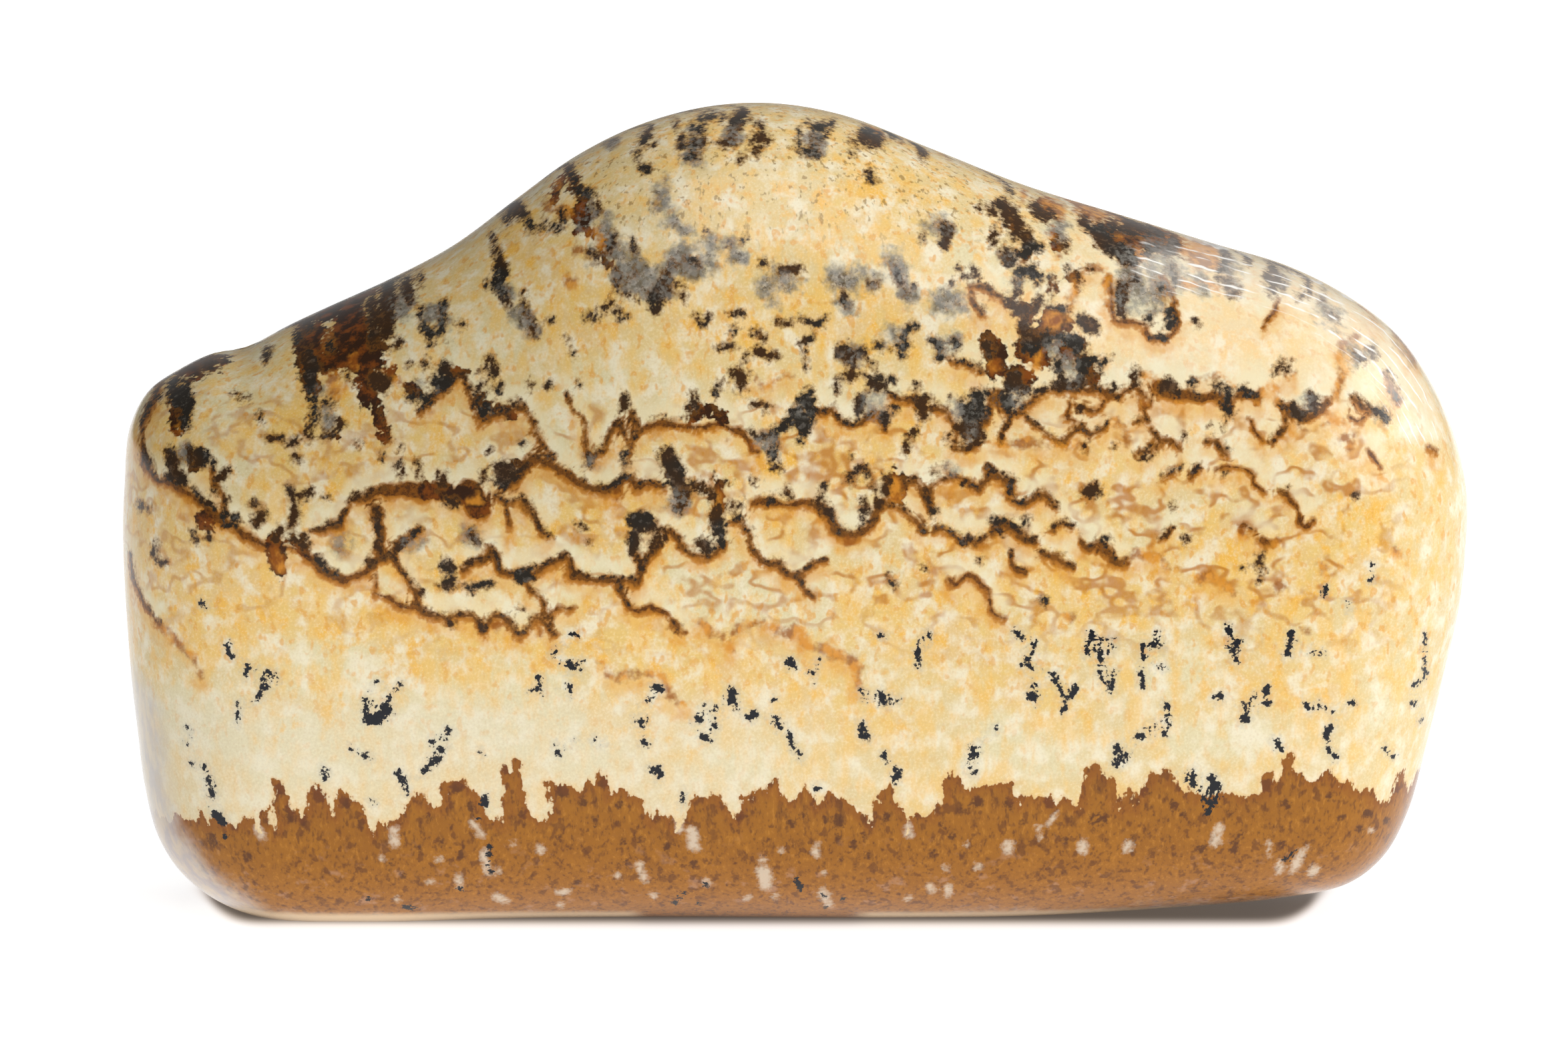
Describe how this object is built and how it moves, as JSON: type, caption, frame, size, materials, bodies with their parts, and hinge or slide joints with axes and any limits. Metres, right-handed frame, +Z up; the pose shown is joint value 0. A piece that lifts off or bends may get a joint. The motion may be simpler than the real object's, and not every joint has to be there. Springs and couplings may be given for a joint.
{
  "type": "polished picture jasper freeform stone",
  "caption": "Palm-sized slab of polished picture jasper with a humped top and rounded edges, which stands upright on a narrow flat along its lower edge.",
  "frame": {"origin": "under the middle of the stone's bounding box, on the surface that it stands on", "axes": "+Z up, +X along the stone's length, towards its right end as the banded face is seen, +Y from the banded face to the back"},
  "size_m": [0.0624, 0.0192, 0.0377],
  "materials": {
    "jasper": "polished opaque jasper: an ochre-brown band with a jagged top along the lower edge, cream above it with black specks, and brown-edged scalloped veins and dark blotches on peach and cream further up"
  },
  "bodies": {
    "root": {"jasper_stone": "jasper"}
  },
  "joints": []
}
